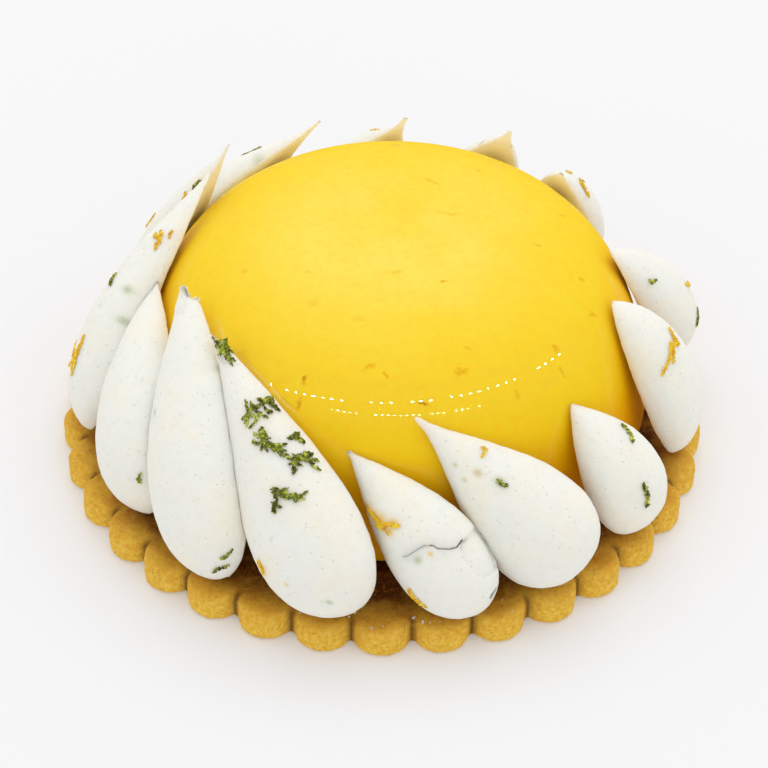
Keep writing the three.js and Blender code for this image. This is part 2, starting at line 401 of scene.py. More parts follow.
# %% Fusing the biscuit
SLAB_RADIUS = 46.3 * MM
SLAB_RIM = 1.2 * MM
SLAB_DROP = 0.12 * MM
SLAB_FACETS = 96
HEART_RADIUS = 35 * MM
BISCUIT_VOXEL = 0.36 * MM


def cut(piece, other, operation="DIFFERENCE"):
    modify(piece, "BOOLEAN", operation=operation, solver="MANIFOLD", object=other)
    bpy.data.objects.remove(other)


def join(pieces):
    bpy.ops.object.select_all(action="DESELECT")
    for piece in pieces:
        piece.select_set(True)
    bpy.context.view_layer.objects.active = pieces[0]
    bpy.ops.object.join()
    return pieces[0]


slab = rimmed_slab(SLAB_RADIUS, BISCUIT_THICKNESS - SLAB_DROP, SLAB_RIM, SLAB_FACETS)
bpy.ops.mesh.primitive_cylinder_add(
    vertices=SLAB_FACETS, radius=HEART_RADIUS, depth=4 * BISCUIT_THICKNESS
)
cut(slab, bpy.context.object)
join([biscuit, slab])
modify(biscuit, "REMESH", mode="VOXEL", voxel_size=BISCUIT_VOXEL, use_smooth_shade=True)
modify(biscuit, "SMOOTH", factor=0.3, iterations=1)
size = [round(v / MM, 1) for v in biscuit.dimensions]
print("biscuit", len(biscuit.data.polygons), "faces,", size, "mm")

# %% [markdown]
# ## Sandy skin
# Baking leaves a sandy skin with small pits. Displace modifiers with cloud textures carve it: their
# mid level is 1, so they only take away and the biscuit never grows past its cutter. Each point keeps
# how near it is to a valley, where the finish paints shade into the crease between two lobes.

# %% Sandy skin
# size of the bumps and how deep they are carved
PITS = ((4.5 * MM, 0.25 * MM), (0.9 * MM, 0.24 * MM))
HEART_DROP = 0.45 * MM
HEART_OVERLAP = 0.6 * MM
VALLEY_WIDTH = 0.5 * MM
VALLEY_FROM = 45 * MM
VALLEY_FADE = 2 * MM


def ripple(piece, size, strength, middle=1.0, detail=2):
    texture = bpy.data.textures.new("ripple", type="CLOUDS")
    texture.noise_scale = size
    texture.noise_depth = detail
    modify(
        piece, "DISPLACE", texture=texture, texture_coords="LOCAL", strength=strength, mid_level=middle
    )


def mark(piece, name, values):
    layer = piece.data.attributes.new(name, "FLOAT", "POINT")
    layer.data.foreach_set("value", np.asarray(values, dtype=np.float32))


for size, depth in PITS:
    ripple(biscuit, size, depth)
heart_height = BISCUIT_THICKNESS - HEART_DROP
heart = rimmed_slab(HEART_RADIUS + HEART_OVERLAP, heart_height, UNDER_RIM, SLAB_FACETS)
cut(biscuit, heart, "UNION")
spots = places(biscuit)
lobes_along = (np.arctan2(spots[:, 1], spots[:, 0]) - LOBE_FIRST) / (2 * math.pi) * LOBE_COUNT
off_valley = np.abs(lobes_along % 1 - 0.5) * 2 * math.pi * lobe_ring / LOBE_COUNT
outward = np.clip((np.hypot(spots[:, 0], spots[:, 1]) - VALLEY_FROM) / VALLEY_FADE, 0, 1)
# how near a point is to a valley, for the painted shade in the crease
mark(biscuit, "valley", outward * np.exp(-(off_valley / VALLEY_WIDTH) ** 2))
bpy.ops.object.shade_smooth()
print("biscuit with its heart", len(biscuit.data.polygons), "faces")

# %% [markdown]
# ## Crust finish
# The biscuit is golden at its rim and darkest next to the cream. It is partly toasted there and partly
# given painted shade where the drops shade it. One brown would look painted, so toasted tones are washed
# on in turn: higher up on the side, in patches on top, dark near the cream with painted shade, as grains
# of sand, and last as painted shade along the valleys, in the creases between lobes.

# %% Crust finish
GOLD = paint(234, 184, 56)
PALE = paint(246, 208, 86)
TOAST = paint(192, 126, 28)
DARK_TOAST_AND_SHADE = paint(84, 40, 6)
crust = Finish("golden_crust", GOLD, Roughness=0.75, Specular_IOR_Level=0.25)
upward = crust.axes(crust.add("ShaderNodeNewGeometry").outputs["Normal"])["Z"]
crust_x, crust_y, crust_z = crust.axes(crust.places)
ring = crust.math("SQRT", crust.math(
    "ADD", crust.math("POWER", crust_x, 2.0), crust.math("POWER", crust_y, 2.0)
))
on_top = crust.ramp(upward, 0.4, 1.0)
mottle = crust.noise(3.5 * MM, 4.0, 0.6)
grain = crust.noise(0.7 * MM, 2.0)
sand = crust.noise(0.5 * MM, 3.0, 0.7)
patches = crust.math("ADD", crust.times(mottle, 0.6), crust.times(grain, 0.4))
off_rim = crust.ramp(ring, 50 * MM, 45 * MM, 0.35, 1.0)
inward_toast_and_shade = crust.ramp(ring, 48.5 * MM, 41.5 * MM)
crust.wash(PALE, crust.ramp(grain, 0.35, 0.7))
crust.wash(TOAST, crust.ramp(crust_z, 1.6 * MM, 4.6 * MM, 0.0, 0.25))
crust.wash(TOAST, on_top, crust.ramp(patches, 0.4, 0.62, 0.05, 0.9), off_rim)
# partly toast, partly painted shade under the drops: darker on top towards the cream
crust.wash(DARK_TOAST_AND_SHADE, on_top, inward_toast_and_shade, crust.ramp(mottle, 0.3, 0.6, 0.75, 1.0))
crust.wash(TOAST, crust.ramp(sand, 0.5, 0.66, 0.0, 0.45))
# painted shade in the creases between lobes
crust.wash(DARK_TOAST_AND_SHADE, crust.layer("valley"), 0.9)
crust.relief(crust.noise(0.5 * MM, 3.0, 0.6), 0.22 * MM)
dress(biscuit, crust)
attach(biscuit, "root")
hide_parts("biscuit")

# %% [markdown]
# ## Lemon cream
# The cream was set in a round mould with soft shoulders, so its side is one curve turned about an
# upright axis. A squashed sphere would be too round at the shoulder. The curve is drawn point by point
# by extruding a single vertex, and Spin turns it into the dome. Extruding and merging number the points
# anew each time the lesson runs, so a closed shape is sorted, and later draws give the same result.

# %% Lemon cream
CREAM_MIDDLE = Vector((1.5, 2.6, 5.3)) * MM
CREAM_RADIUS = 39.6 * MM
CREAM_HEIGHT = 30 * MM
CREAM_SIDE_POWER = 5.5
CREAM_TOP_POWER = 1.75
CREAM_FOOT = 1.2 * MM
CREAM_SHOULDER = 0.8
CREAM_STEPS = 180
FLANK_POINTS = 20
CROWN_POINTS = 34
WAVE_SIZE = 6 * MM
WAVE_DEPTH = 0.02 * MM
# a place off every axis, from which no two points are equally far
SORT_FROM = Vector((-61, 37, 83)) * MM


def pull(move):
    bpy.ops.mesh.extrude_region_move(TRANSFORM_OT_translate={"value": move})


def put_in_order():
    bpy.context.scene.cursor.location = SORT_FROM
    bpy.ops.mesh.sort_elements(type="CURSOR_DISTANCE", elements={"VERT", "EDGE", "FACE"})


def close_up():
    bpy.ops.mesh.select_all(action="SELECT")
    bpy.ops.mesh.remove_doubles(threshold=0.001 * MM)
    bpy.ops.mesh.normals_make_consistent(inside=False)
    put_in_order()


def cream_radius(height):
    return CREAM_RADIUS * (1 - (height / CREAM_HEIGHT) ** CREAM_TOP_POWER) ** (1 / CREAM_SIDE_POWER)


def cream_height(radius):
    return CREAM_HEIGHT * (1 - (radius / CREAM_RADIUS) ** CREAM_SIDE_POWER) ** (1 / CREAM_TOP_POWER)


shoulder = CREAM_SHOULDER * CREAM_HEIGHT
flank = [(cream_radius(h), h) for h in np.linspace(CREAM_FOOT, shoulder, FLANK_POINTS)]
crown = [(r, cream_height(r)) for r in np.linspace(cream_radius(shoulder), 0, CROWN_POINTS)[1:]]
side = [(0.0, 0.0), (CREAM_RADIUS - CREAM_FOOT, 0.0)] + flank + crown

bpy.ops.mesh.primitive_plane_add(size=MM, location=CREAM_MIDDLE)
cream = bpy.context.object
cream.name = "lemon_cream_dome"
settle(cream)
edit(cream)
bpy.ops.mesh.merge(type="CENTER")
for (r0, h0), (r1, h1) in zip(side, side[1:]):
    pull((r1 - r0, 0, h1 - h0))
bpy.ops.mesh.select_all(action="SELECT")
bpy.ops.mesh.spin(steps=CREAM_STEPS, angle=2 * math.pi, center=CREAM_MIDDLE, axis=(0, 0, 1))
close_up()
leave_edit()
modify(cream, "SUBSURF", levels=1, render_levels=1)
ripple(cream, WAVE_SIZE, WAVE_DEPTH, detail=1)
bpy.ops.object.shade_smooth()
print("cream", len(cream.data.polygons), "faces")

# %% [markdown]
# ## Flecks in the cream
# Zest was stirred in and shows as blurred flecks under the skin. Flecks cut into the mesh would have
# sharp edges, so each one is a soft stretched spot in the finish, bent by noise.

# %% Flecks in the cream
YELLOW = paint(248, 212, 42)
# x, y from the cream's middle, turn, length, width in millimetres and degrees, and strength
FLECKS = [
    (-12.7, -8.6, 10, 2.2, 1.2, 0.3),
    (-0.1, -8.7, 0, 2.6, 1.4, 0.35),
    (-11.8, -15.4, 30, 3.0, 1.6, 0.25),
    (-5.1, -18.8, 0, 2.4, 1.4, 0.25),
    (-3.5, -27.0, 20, 2.2, 0.9, 0.6),
    (-1.0, -28.4, -35, 1.8, 0.9, 0.7),
    (-12.5, -27.6, 20, 1.6, 0.9, 1.2),
    (-13.4, -30.2, 60, 1.8, 1.2, 1.0),
    (5.7, 13.9, -30, 3.4, 0.8, 0.4),
    (7.8, 6.0, -20, 3.8, 0.9, 0.4),
    (7.1, -10.1, 20, 1.5, 0.8, 0.8),
    (25.3, 8.8, -25, 1.6, 0.8, 0.7),
    (21.1, -0.7, -10, 1.5, 0.9, 0.6),
    (27.5, -5.7, 10, 1.3, 0.6, 0.8),
    (29.2, -11.2, 0, 1.2, 0.8, 0.7),
    (23.5, -19.7, -50, 1.4, 0.7, 0.8),
    (24.3, -22.2, -20, 1.8, 0.9, 0.6),
    (10.4, -23.3, 0, 1.6, 1.0, 0.45),
    (9.7, -26.9, 10, 2.4, 1.0, 0.7),
    (4.4, -31.4, -8, 3.2, 0.6, 1.3),
    (17.8, -27.5, 0, 1.2, 0.8, 0.6),
    (-0.1, 25.9, 0, 2.0, 1.0, 0.4),
]
FLECK_DEPTH = 1.5
DRIFT_SIZE = 1.6 * MM
DRIFT_REACH = 2.4 * MM
curd = Finish(
    "lemon_curd", YELLOW, Roughness=0.45, Specular_IOR_Level=0.1, IOR=1.42,
    Subsurface_Weight=0.35, Subsurface_Radius=(1.0, 0.55, 0.1), Subsurface_Scale=2.2 * MM,
    Coat_IOR=2.2, Coat_Roughness=0.02,
)
drift = curd.add(
    "ShaderNodeTexNoise", {"Vector": curd.places, "Scale": 1 / DRIFT_SIZE, "Detail": 3.0}
).outputs["Color"]
drift = curd.vector("SUBTRACT", drift, (0.5, 0.5, 0.5))[0]
drift = curd.vector("MULTIPLY", drift, (DRIFT_REACH,) * 3)[0]
wavering = curd.vector("ADD", curd.places, drift)[0]
fleck = 0.0
for x, y, turn, length, width, strength in FLECKS:
    height = cream_height(math.hypot(x, y) * MM)
    spot = curd.add("ShaderNodeMapping", {
        "Vector": wavering,
        "Location": CREAM_MIDDLE + Vector((x * MM, y * MM, height)),
        "Rotation": (0, 0, math.radians(turn)),
        "Scale": Vector((length / 2, width / 2, FLECK_DEPTH)) * MM,
    }, vector_type="TEXTURE")
    far = curd.vector("LENGTH", spot.outputs[0])["Value"]
    fleck = curd.math("MAXIMUM", fleck, curd.ramp(far, 1.25, 0.2, 0.0, strength))
print(len(FLECKS), "flecks")

# %% [markdown]
# ## Cream finish
# Set cream lets light in, so it needs subsurface scattering. Its top is painted palest in the middle, a
# painted sheen, and it is painted deeper and orange towards its sides and foot, as painted shade where
# the drops stand close. A thin clear coat gives the wet gloss, which is strongest where the glaze
# gathered on the front of the shoulder.

# %% Cream finish
SHEEN_PALE_YELLOW = paint(248, 226, 98)
LOW_SHADE_YELLOW = paint(250, 206, 8)
SHADE_AND_MOTTLE_ORANGE = paint(244, 168, 2)
FLECK_GOLD = paint(228, 168, 8)
FLECK_BROWN = paint(170, 104, 8)
cream_x, cream_y, cream_z = curd.axes(curd.places)
cream_top = CREAM_MIDDLE + Vector((0, 0, CREAM_HEIGHT))
from_top = curd.vector("DISTANCE", curd.places, cream_top)["Value"]
aside = curd.math("ABSOLUTE", curd.math("SUBTRACT", cream_x, CREAM_MIDDLE.x))
above = curd.math("SUBTRACT", cream_z, CREAM_MIDDLE.z)


def climb(low, high):
    return curd.ramp(above, low * CREAM_HEIGHT, high * CREAM_HEIGHT)


clouded = curd.ramp(curd.noise(20 * MM, 2.0), 0.3, 0.6, 0.4, 1.0)
# painted shade: orange towards the sides and low down, where the drops shade the cream
edge = curd.math("MAXIMUM", climb(0.65, 0.25), curd.ramp(aside, 29 * MM, 40 * MM))
# painted sheen: paler yellow in the middle of the top
curd.wash(SHEEN_PALE_YELLOW, curd.ramp(from_top, 34 * MM, 4 * MM), clouded)
# painted shade: deeper yellow lower down the side
curd.wash(LOW_SHADE_YELLOW, climb(0.97, 0.4))
curd.wash(SHADE_AND_MOTTLE_ORANGE, edge, 0.9)
# the same orange as a faint random mottle
curd.wash(SHADE_AND_MOTTLE_ORANGE, curd.ramp(curd.noise(1.4 * MM, 4.0, 0.65), 0.4, 0.7, 0.0, 0.14))
curd.wash(FLECK_GOLD, curd.specks(7 * MM, 0.7 * MM, 0.3), 0.35)
curd.wash(FLECK_GOLD, curd.math("MINIMUM", fleck, 0.75))
curd.wash(FLECK_BROWN, curd.ramp(fleck, 0.7, 1.3, 0.0, 0.7))
in_front = curd.ramp(cream_y, CREAM_MIDDLE.y - 12 * MM, CREAM_MIDDLE.y - 20 * MM)
wet = curd.times(climb(0.71, 0.77), climb(0.92, 0.86), in_front)
curd.set(curd.shader, {"Coat_Weight": curd.ramp(wet, 0.0, 1.0, 0.12, 1.0)})
curd.relief(curd.noise(1.1 * MM, 2.0), 0.006 * MM)
dress(cream, curd)
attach(cream, "root")
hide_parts("lemon_cream")

# %% [markdown]
# ## Meringue drops
# Each drop was piped in one squeeze: a round end, then a long tail drawn out to a point, flat where it
# lay on the tray. No two are alike, so each has its own row: the bearing it stands at, its lean and
# sweep in degrees, length and width in millimetres, how quickly it tapers and how far its tail bends.
# Three rules turn a row into a width, a height and a bend at any share of the length.

# %% Rows of drops
Drop = namedtuple("Drop", "bearing lean sweep length width taper bend")
DROPS = [
    Drop(262, 30, 42, 30, 14, 1.05, 2),
    Drop(284, 28, 38, 34, 17, 1.3, 1.5),
    Drop(319, 30, 3, 23, 14, 0.85, 2),
    Drop(349, 26, -12, 28, 14, 0.65, 3),
    Drop(9, 26, 15, 31.5, 14.5, 1, 1),
    Drop(45, 24, 12, 32, 13.5, 1, 2),
    Drop(66, 25, 21, 38, 13, 1.2, 0),
    Drop(94, 27, 15, 35.5, 14, 1.4, 0),
    Drop(127, 26, 30, 39, 14.5, 1.3, 0),
    Drop(152, 22, 2, 40, 12.5, 1.2, -1),
    Drop(176, 27, 36, 44, 14.5, 1.05, 0),
    Drop(198, 22, 50, 36, 16.5, 0.95, 1.5),
    Drop(217, 28, 44, 47, 17, 1.15, 0),
    Drop(237, 28, 49, 48.5, 18, 1.5, 0.6),
]
DROP_HEIGHT_RATIO = 0.56
DROP_CENTRE_RATIO = 0.3
TIP_RADIUS = 0.6 * MM


def half_width(drop, share):
    widest = 1 / (1 + 2 * drop.taper)
    drawn_out = ((1 - share) / (1 - widest)) ** drop.taper
    piped = drop.width / 2 * MM * math.sqrt(share / widest) * drawn_out
    tip = math.sqrt(TIP_RADIUS * (1 - share) * drop.length * MM)
    return max(piped, min(tip, TIP_RADIUS)) if share > 0.5 else piped


def half_height(drop, share):
    return half_width(drop, share) * 2 * DROP_HEIGHT_RATIO / (1 + DROP_CENTRE_RATIO)


def tail_bend(drop, share):
    return drop.bend * MM * share ** 3


print(len(DROPS), "drops,", min(d.length for d in DROPS), "to", max(d.length for d in DROPS), "mm long")

# %% [markdown]
# ## Piping
# A sphere pulled long would have the wrong tail, so a drop is made as it was piped: one ring is extruded
# ring by ring along the tray, each resized to the width that the nozzle laid down there, and what falls
# below the tray is flattened. Subdivision then rounds the cage, which shrinks it, so it starts larger.

# %% Piping
DROP_ROUND = 16
DROP_RINGS = 16
CAGE_GROWTH = 1.024
JUST_PAST = 1.01


def first_ring(name, drop, share, turn_under):
    middle = (share * drop.length * MM, tail_bend(drop, share), 0)
    bpy.ops.mesh.primitive_circle_add(
        vertices=DROP_ROUND, radius=half_width(drop, share) * CAGE_GROWTH,
        rotation=(0, math.pi / 2, 0), location=middle,
    )
    piece = bpy.context.object
    piece.name = name
    settle(piece)
    edit(piece)
    flatter = half_height(drop, share) / half_width(drop, share)
    bpy.ops.transform.resize(value=(1, 1, flatter), center_override=middle)
    lift = DROP_CENTRE_RATIO * half_height(drop, share) * CAGE_GROWTH
    bpy.ops.transform.translate(value=(0, 0, lift))
    pick(lambda co: co.z < lift)
    bpy.ops.transform.resize(value=(1, 1, turn_under), center_override=(*middle[:2], lift))
    bpy.ops.mesh.select_all(action="SELECT")
    return piece


def pipe(name, drop, turn_under):
    length = drop.length * MM
    shares = [(1 - math.cos(math.pi * i / DROP_RINGS)) / 2 for i in range(1, DROP_RINGS)]
    start, end = shares[0], shares[-1]
    piece = first_ring(name, drop, start, turn_under)
    for before, after in zip(shares, shares[1:]):
        pull(((after - before) * length, tail_bend(drop, after) - tail_bend(drop, before), 0))
        growth = half_width(drop, after) / half_width(drop, before)
        middle = (after * length, tail_bend(drop, after), 0)
        bpy.ops.transform.resize(value=(1, growth, growth), center_override=middle)
    pull(((1 - end) * length, tail_bend(drop, 1) - tail_bend(drop, end), 0))
    bpy.ops.mesh.merge(type="CENTER")
    pick(lambda co: co.x < start * length * JUST_PAST)
    pull((-start * length, 0, 0))
    bpy.ops.mesh.merge(type="CENTER")
    pick(lambda co: co.z < 0)
    bpy.ops.transform.resize(value=(1, 1, 0), center_override=(0, 0, 0))
    close_up()
    leave_edit()
    modify(piece, "SUBSURF", levels=3, render_levels=3)
    return piece


# %% [markdown]
# ## Uneven skin and broken points
# A piped drop is never quite even, and its skin dries with faint dimples. Two soft ripples give that,
# and a third, finer one its pebbled look. Two drops lost their points, so a Bisect takes them off on a
# slant and fills the break, which is shaken rough and gets one peak and one dip. A break has sharp
# facets, and smooth shading would smear them grey, so its faces are shaded flat.

# %% Uneven skin and broken points
# size of the dimples and their depth
DIMPLES = ((9 * MM, 0.45 * MM), (2.2 * MM, 0.15 * MM), (0.9 * MM, 0.1 * MM))
DIMPLE_MIDDLE = 0.72
DIMPLE_GROWTH = 0.035
SNAP_SHARE = 0.9
SNAP_SLANT = math.radians(-35)
SNAP_HOLLOW = 0.15 * MM
SNAP_SHAKE = 0.2 * MM
# how far across the break a peak or a dip lies, and how far it stands out
SNAP_STEPS = ((0.85 * MM, 0.55 * MM), (-0.45 * MM, -0.55 * MM))
STEP_REACH = 0.4 * MM
STEP_FROM = 0.84
FLAT_FROM = 0.86


def weather(piece, number):
    for size, depth in DIMPLES:
        ripple(piece, size * (1 + DIMPLE_GROWTH * number), depth, DIMPLE_MIDDLE)
    bpy.ops.object.shade_smooth()


def snap(piece, drop):
    length = drop.length * MM
    middle = tail_bend(drop, SNAP_SHARE)
    edit(piece)
    bpy.ops.mesh.bisect(
        plane_co=(SNAP_SHARE * length, 0, 0), clear_outer=True, use_fill=True,
        plane_no=(math.cos(SNAP_SLANT), math.sin(SNAP_SLANT), 0),
    )
    bpy.ops.mesh.poke(offset=-SNAP_HOLLOW)
    put_in_order()
    bpy.ops.transform.vertex_random(offset=SNAP_SHAKE, seed=int(drop.length))
    for across, move in SNAP_STEPS:
        pick(lambda co: co.x > STEP_FROM * length and abs(co.y - middle - across) < STEP_REACH)
        bpy.ops.transform.translate(value=(move, 0, 0))
    leave_edit()


def flatten_break(piece, drop):
    edit(piece, "DESELECT")
    pick(lambda co: co.x > FLAT_FROM * drop.length * MM)
    bpy.ops.mesh.faces_shade_flat()
    leave_edit()


# %% [markdown]
# ## Standing the drops up
# Every drop leans with its flat back on the dome and its lowest point on the biscuit, swept a little to
# one side. The place follows from those two contacts, so nothing is fitted by eye: the dome is touched
# where it reaches farthest along the drop's tilt, and the drop slides down its own length to stand.

# %% Standing place
GAP = 0.3 * MM
STAND_HEIGHT = BISCUIT_THICKNESS + GAP
SINK = 0.25 * MM
FORM_SHARES = np.linspace(0.005, 0.9, 120)
FORM_ANGLES = np.linspace(0, 2 * math.pi, 48)


def tray_form(drop):
    for share in FORM_SHARES:
        for angle in FORM_ANGLES:
            y = half_width(drop, share) * math.cos(angle) + tail_bend(drop, share)
            z = half_height(drop, share) * (math.sin(angle) + DROP_CENTRE_RATIO)
            yield Vector((share * drop.length * MM, y, max(z, 0)))


def standing_place(drop):
    bearing, lean, sweep = (math.radians(angle) for angle in drop[:3])
    radial = Vector((math.cos(bearing), math.sin(bearing), 0))
    clockwise = Vector((math.sin(bearing), -math.cos(bearing), 0))
    up = Vector((0, 0, 1))
    out = radial * math.cos(lean) + up * math.sin(lean)
    uphill = up * math.cos(lean) - radial * math.sin(lean)
    along = uphill * math.cos(sweep) + clockwise * math.sin(sweep)
    turn = Matrix((along, out.cross(along), out)).transposed()
    touch = max(
        flank + crown, key=lambda spot: spot[0] * math.cos(lean) + spot[1] * math.sin(lean)
    )
    origin = CREAM_MIDDLE + radial * touch[0] + up * touch[1] + out * GAP
    lowest = origin.z + min((turn @ spot).z for spot in tray_form(drop))
    origin += along * ((STAND_HEIGHT - lowest) / along.z)
    return Matrix.Translation(origin - up * SINK) @ turn.to_4x4()


# %% [markdown]
# ## Fourteen drops
# The drops are piped one by one, as no two are alike, and then stood up. Those at the back roll farther
# round under than those in front: how steeply the section turns under to the tray is 1 for a sharp rim,
# and less rolls it round.

# %% Fourteen drops
TURN_UNDER = 0.75
ROLLED_UNDER = {6: 0.32, 7: 0.32, 8: 0.36, 9: 0.45, 10: 0.5}
SNAPPED_DROPS = (13, 14)
drops = {}
stands = {}
for number, drop in enumerate(DROPS, 1):
    piece = pipe(f"meringue_drop_{number:02d}", drop, ROLLED_UNDER.get(number, TURN_UNDER))
    stands[number] = standing_place(drop)
    if number in SNAPPED_DROPS:
        snap(piece, drop)
    weather(piece, number)
    if number in SNAPPED_DROPS:
        flatten_break(piece, drop)
    drops[number] = piece
    piece.matrix_world = stands[number]
    settle(piece)
print(len(drops), "drops of", len(drops[1].data.polygons), "faces")

# %% [markdown]
# ## Neighbours give way
# Neighbours were pushed close while the cream was soft, so the one behind gives way to the one in
# front. A copy of the front drop, fattened by a hair, is taken out of the other with a Boolean.

# %% Neighbours give way
TRIM_GAP = 0.01 * MM


def trim(piece, front):
    take(front)
    bpy.ops.object.duplicate()
    cutter = bpy.context.object
    edit(cutter)
    bpy.ops.transform.shrink_fatten(value=TRIM_GAP)
    leave_edit()
    cut(piece, cutter)


def towards_back(number):
    return math.sin(math.radians(DROPS[number - 1].bearing))


for number in drops:
    front, behind = sorted((number, number % len(drops) + 1), key=towards_back)
    trim(drops[behind], drops[front])
print("trimmed; the last drop now has", len(drops[len(drops)].data.polygons), "faces")

# %% [markdown]
# ## Lost flake
# The front drop is damaged, and a flake of its skin is gone on one side. A Boolean would leave a walled
# pit. The flake was thin, so the points inside its outline are simply pushed in.

# %% Lost flake
CRACKED_DROP = 1
FLAKE_EDGE = [(4.2, -5.3), (4.4, -4.2), (6.3, -3.7), (9.6, -4.0), (11.0, -4.7)]
FLAKE_DEPTH = 0.5 * MM
FLAKE_FLOOR = 0.8 * MM
cracked = drops[CRACKED_DROP]
cracked_stand = stands[CRACKED_DROP]
to_tray = cracked_stand.inverted()
flake_x = [x * MM for x, y in FLAKE_EDGE]
flake_y = [y * MM for x, y in FLAKE_EDGE]


def on_flake(co):
    spot = to_tray @ co
    inside = flake_x[0] < spot.x < flake_x[-1] and spot.z > FLAKE_FLOOR
    return inside and spot.y < np.interp(spot.x, flake_x, flake_y)


edit(cracked, "DESELECT")
pick(on_flake)
bpy.ops.transform.shrink_fatten(value=-FLAKE_DEPTH)
leave_edit()
print("flake", round((flake_x[-1] - flake_x[0]) / MM, 1), "mm long pushed in")

# %% [markdown]
# ## Cracks
# A crack also runs across the front drop, and its foot is chipped. Each is a ribbon drawn along its line
# by extruding one edge, made thick with Solidify and cut out with a Boolean.

# %% Cracks
FINE_CRACK = [(13.9, 3.2), (13.7, 2.5), (13.7, 1.0), (13.6, -0.4), (12.8, -1.5)]
WIDE_CRACK = [(13.2, -1.1), (12.8, -1.5), (12.2, -1.7), (11.1, -3.0), (10.7, -3.8), (11.0, -4.9)]
FOOT_CHIP = [(2.9, -6.2), (2.2, -4.4), (1.9, -3.3), (1.5, -2.4)]
# a line along and across the drop, its width, and the heights that it is cut between
SPLITS = [(FINE_CRACK, 0.07, 5.5, 10), (WIDE_CRACK, 0.2, 4.5, 10), (FOOT_CHIP, 0.35, 1.2, 8)]


def ribbon(points, low, high):
    bpy.ops.mesh.primitive_plane_add(size=MM, location=(0, 0, 0))
    piece = bpy.context.object
    edit(piece)
    bpy.ops.mesh.merge(type="CENTER")
    bpy.ops.transform.translate(value=(points[0][0] * MM, points[0][1] * MM, low))
    pull((0, 0, high - low))
    bpy.ops.mesh.select_all(action="SELECT")
    for (x0, y0), (x1, y1) in zip(points, points[1:]):
        pull(((x1 - x0) * MM, (y1 - y0) * MM, 0))
    leave_edit()
    return piece


def split(piece, stand, points, width, low, high):
    blade = ribbon(points, low, high)
    modify(blade, "SOLIDIFY", thickness=width, offset=0)
    edit(blade)
    bpy.ops.mesh.normals_make_consistent(inside=False)
    leave_edit()
    blade.matrix_world = stand
    settle(blade)
    cut(piece, blade)


for points, width, low, high in SPLITS:
    split(cracked, cracked_stand, points, width * MM, low * MM, high * MM)
print("cracked drop has", len(cracked.data.polygons), "faces")

# %% [markdown]
# ## Stains on the drops
# A drop's back is cream-coloured where it lay on the tray, zest leaves stains round it, and the crack
# gets painted shade inside, olive dark. A finish cannot know the tray, the zest or the crack, so each
# point keeps what it needs in attributes, measured in the drop's own frame.

# %% Stains on the drops
TRAY_FADE = 0.9 * MM
STAIN_FLOOR = 1 * MM
CRACK_DARK = 0.45 * MM
CRACK_FLOOR = 2.5 * MM
WIDE_SHADE = 0.4
FINE_SHADE = 0.25
# drop, along and across in millimetres, radius of the stain
STAINS = {
    "lemon_stain": [
        (1, 21.9, 4.0, 0.8), (1, 20.8, 3.6, 0.8), (1, 19.8, 3.2, 1.0), (1, 18.8, 3.0, 0.8),
        (1, 17.8, 2.8, 0.6), (1, 18.4, 1.6, 0.7), (1, 12.2, -0.5, 0.32), (14, 7.8, 2.7, 0.3),
        (14, 11.4, 5.6, 0.8),
    ],
    "lime_stain": [
        (1, 12.5, 1.5, 0.6), (14, 2.9, -0.7, 0.4), (2, 20.4, -0.6, 0.6), (9, 27.5, -4.0, 1.0),
        (11, 18.0, -6.6, 0.6), (11, 22.5, -5.2, 0.6), (7, 27.5, -3.5, 0.8), (13, 30.0, -6.0, 0.5),
        (13, 25.0, 2.4, 0.5),
    ],
    "butter_stain": [(2, 23.1, 0.7, 0.55), (2, 23.5, 2.7, 0.3), (2, 25.7, 2.2, 0.3)],
}


def near(flat, spots):
    depth = np.zeros(len(flat))
    for x, y, radius in spots:
        away = np.hypot(flat[:, 0] - x * MM, flat[:, 1] - y * MM) / (radius * MM)
        depth = np.maximum(depth, np.exp(-away ** 2))
    return depth


def crack_shade(local):
    drop = DROPS[CRACKED_DROP - 1]
    shares = np.clip(local[:, 0] / (drop.length * MM), 0.01, 0.99)
    high = np.array([half_height(drop, share) for share in shares])
    wide = np.array([half_width(drop, share) for share in shares])
    across = np.clip((local[:, 1] - tail_bend(drop, shares)) / wide, -1, 1)
    sunk = high * (np.sqrt(1 - across ** 2) + DROP_CENTRE_RATIO) - local[:, 2]
    line = [(x, y, WIDE_SHADE) for x, y in WIDE_CRACK] + [(x, y, FINE_SHADE) for x, y in FINE_CRACK]
    return (sunk > CRACK_DARK) * (local[:, 2] > CRACK_FLOOR) * near(local, line)


for number, piece in drops.items():
    inverse = np.array(stands[number].inverted())
    local = places(piece) @ inverse[:3, :3].T + inverse[:3, 3]
    mark(piece, "tray", np.clip(1 - local[:, 2] / TRAY_FADE, 0, 1))
    for stain, spots in STAINS.items():
        own = near(local, [spot[1:] for spot in spots if spot[0] == number])
        mark(piece, stain, (local[:, 2] > STAIN_FLOOR) * own)
    mark(piece, "crack", crack_shade(local) if number == CRACKED_DROP else np.zeros(len(local)))
print(sum(len(spots) for spots in STAINS.values()), "stains")

# %% [markdown]
# ## Meringue finish
# Dried meringue is matt and white, a little warm, with pin-holes. Plain white would look like plaster,
# so light is let a little way in, and three whites are mixed before the pores and stains go on.

